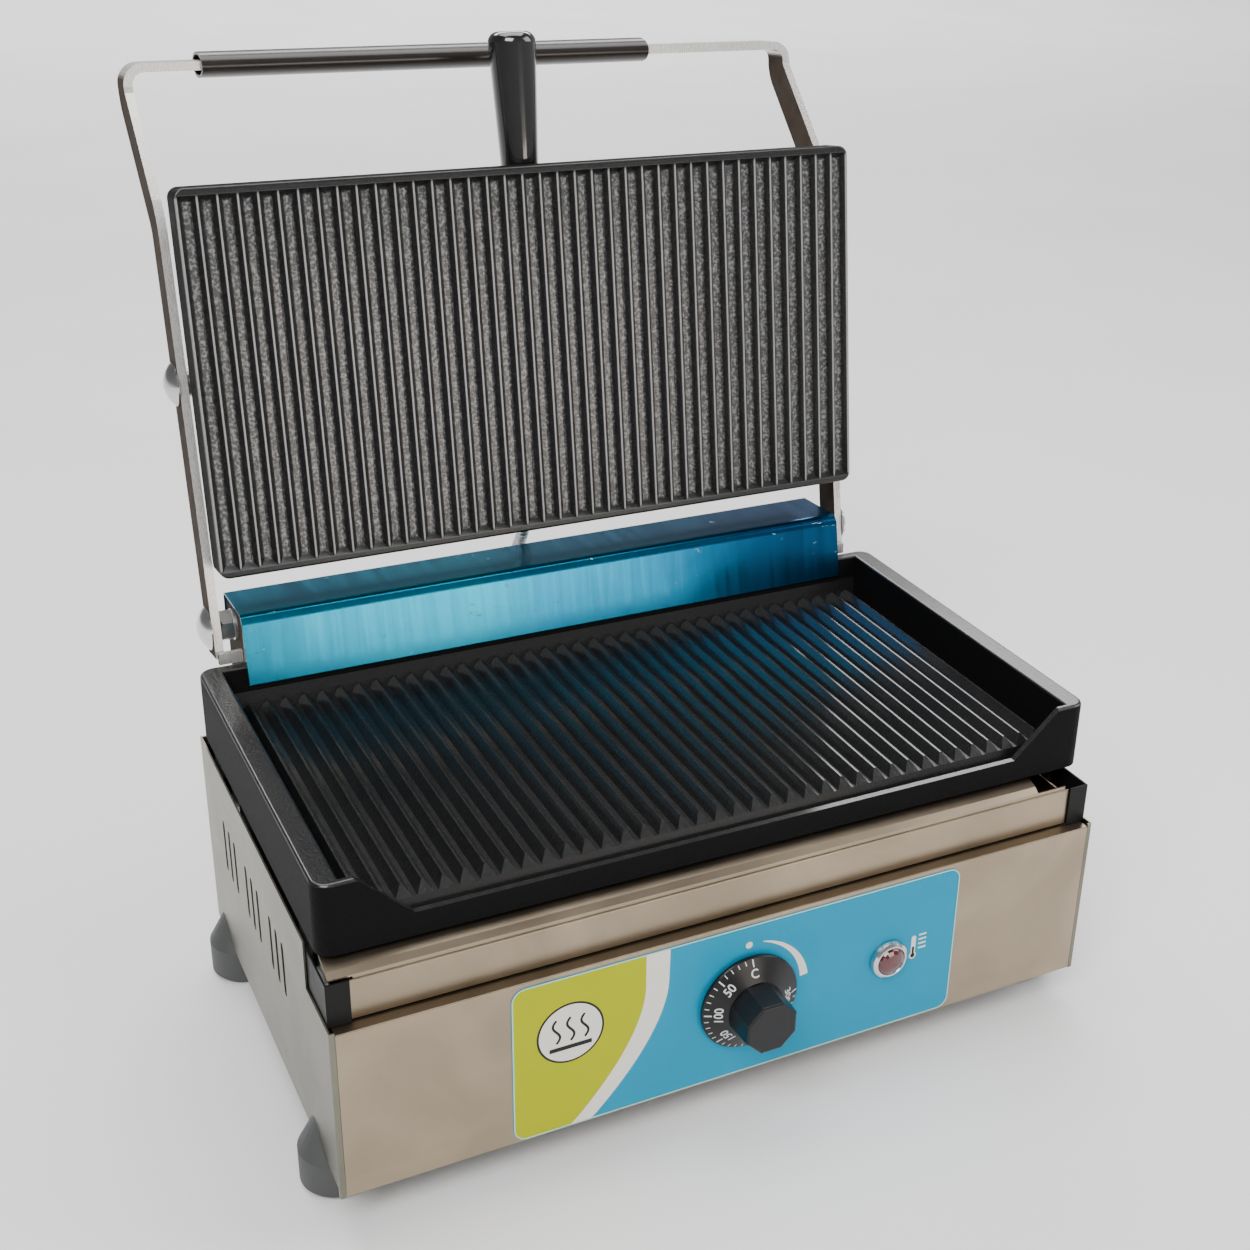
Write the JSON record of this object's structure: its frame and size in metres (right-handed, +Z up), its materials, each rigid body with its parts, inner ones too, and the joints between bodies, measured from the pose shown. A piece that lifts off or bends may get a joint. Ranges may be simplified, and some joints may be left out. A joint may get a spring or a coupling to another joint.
{
  "type": "panini press",
  "caption": "Counter-top contact grill with a ribbed lower plate, a drip drawer, and a ribbed upper plate hung in a hinged flat-bar bail.",
  "frame": {"origin": "under the middle of the whole outline, on the plane the feet stand on", "axes": "+X to the right-hand side, +Y to the back, +Z up; the dial faces -Y"},
  "size_m": [0.48, 0.4318, 0.5431],
  "materials": {
    "stainless_sheet": "fine brushed stainless sheet",
    "black_sheet": "satin black enamel on sheet",
    "cast_plate": "rough cast, seasoned black",
    "blue_film": "glossy blue protective film on sheet",
    "bar_steel": "ground flat bar",
    "sleeve_steel": "gloss black tube",
    "bolt_chrome": "bright plated",
    "zinc": "bright zinc plate",
    "rubber_foot": "moulded rubber",
    "dial_black": "moulded black, printed scale",
    "handle_black": "polished black bakelite",
    "lamp_red": "dark red lens",
    "label_print": "printed polyester label",
    "inner_plastic": "ceramic white",
    "gland_black": "moulded nylon",
    "conduit_metal": "spiral-wound armour",
    "heater_tube": "oxidised heater sheath",
    "shaft_steel": "turned steel"
  },
  "bodies": {
    "base": {"front_panel": "stainless_sheet", "side_panel_left": "stainless_sheet", "side_panel_right": "stainless_sheet", "back_panel": "stainless_sheet", "base_plate": "zinc", "feet": "rubber_foot", "foot_screws": "zinc", "chassis": "black_sheet", "plate_supports": "zinc", "drawer_guides": "zinc", "lower_plate": "cast_plate", "lower_element": "heater_tube", "lower_element_straps": "zinc", "hinge_bracket_left": "bar_steel", "hinge_bracket_right": "bar_steel", "bracket_screws": "zinc", "hinge_bolts": "bolt_chrome", "hinge_washers": "zinc", "hinge_nuts": "zinc", "hinge_cover": "blue_film", "hinge_cover_screws": "zinc", "thermostat_body": "inner_plastic", "thermostat_screws": "zinc", "lamp_bezel": "bolt_chrome", "lamp_lens": "lamp_red", "lamp_nut": "zinc", "control_label": "label_print", "cord_gland": "gland_black", "terminal_block": "inner_plastic", "panel_screws": "zinc", "conduit_gland_base": "zinc", "conduit": "conduit_metal"},
    "tray": {"drip_tray": "stainless_sheet", "drawer_front": "stainless_sheet"},
    "dial": {"dial": "dial_black", "thermostat_shaft": "shaft_steel"},
    "bail": {"bail": "bar_steel"},
    "grip": {"grip_tube": "sleeve_steel"},
    "lid": {"upper_plate": "cast_plate", "upper_cover": "stainless_sheet", "cover_bolts": "zinc", "upper_element": "heater_tube", "upper_element_straps": "zinc", "pivot_brackets": "zinc", "pivot_bolts": "bolt_chrome", "pivot_spacers": "zinc", "pivot_nuts": "zinc", "handle": "handle_black", "handle_stud": "zinc", "handle_nut": "zinc", "handle_bracket": "zinc", "conduit_gland_lid": "zinc"}
  },
  "joints": [
    {"name": "bail_hinge", "type": "hinge", "parent": "base", "child": "bail", "pos_m": [0, 0.09842, 0.2154], "axis": [1, 0, 0], "range_deg": [0, 98], "deforming": ["conduit"]},
    {"name": "lid_tilt", "type": "hinge", "parent": "bail", "child": "lid", "pos_m": [0, 0.1249, 0.3578], "axis": [1, 0, 0], "range_deg": [-1.5, 1.5]},
    {"name": "grip_slide", "type": "slide", "parent": "bail", "child": "grip", "axis": [1, 0, 0], "range_m": [-0.029, 0.09]},
    {"name": "drawer_slide", "type": "slide", "parent": "base", "child": "tray", "axis": [0, -1, 0], "range_m": [0, 0.17]},
    {"name": "dial_turn", "type": "hinge", "parent": "base", "child": "dial", "pos_m": [0, -0.18838, 0.075], "axis": [0, 1, 0], "range_deg": [0, 300]}
  ]
}
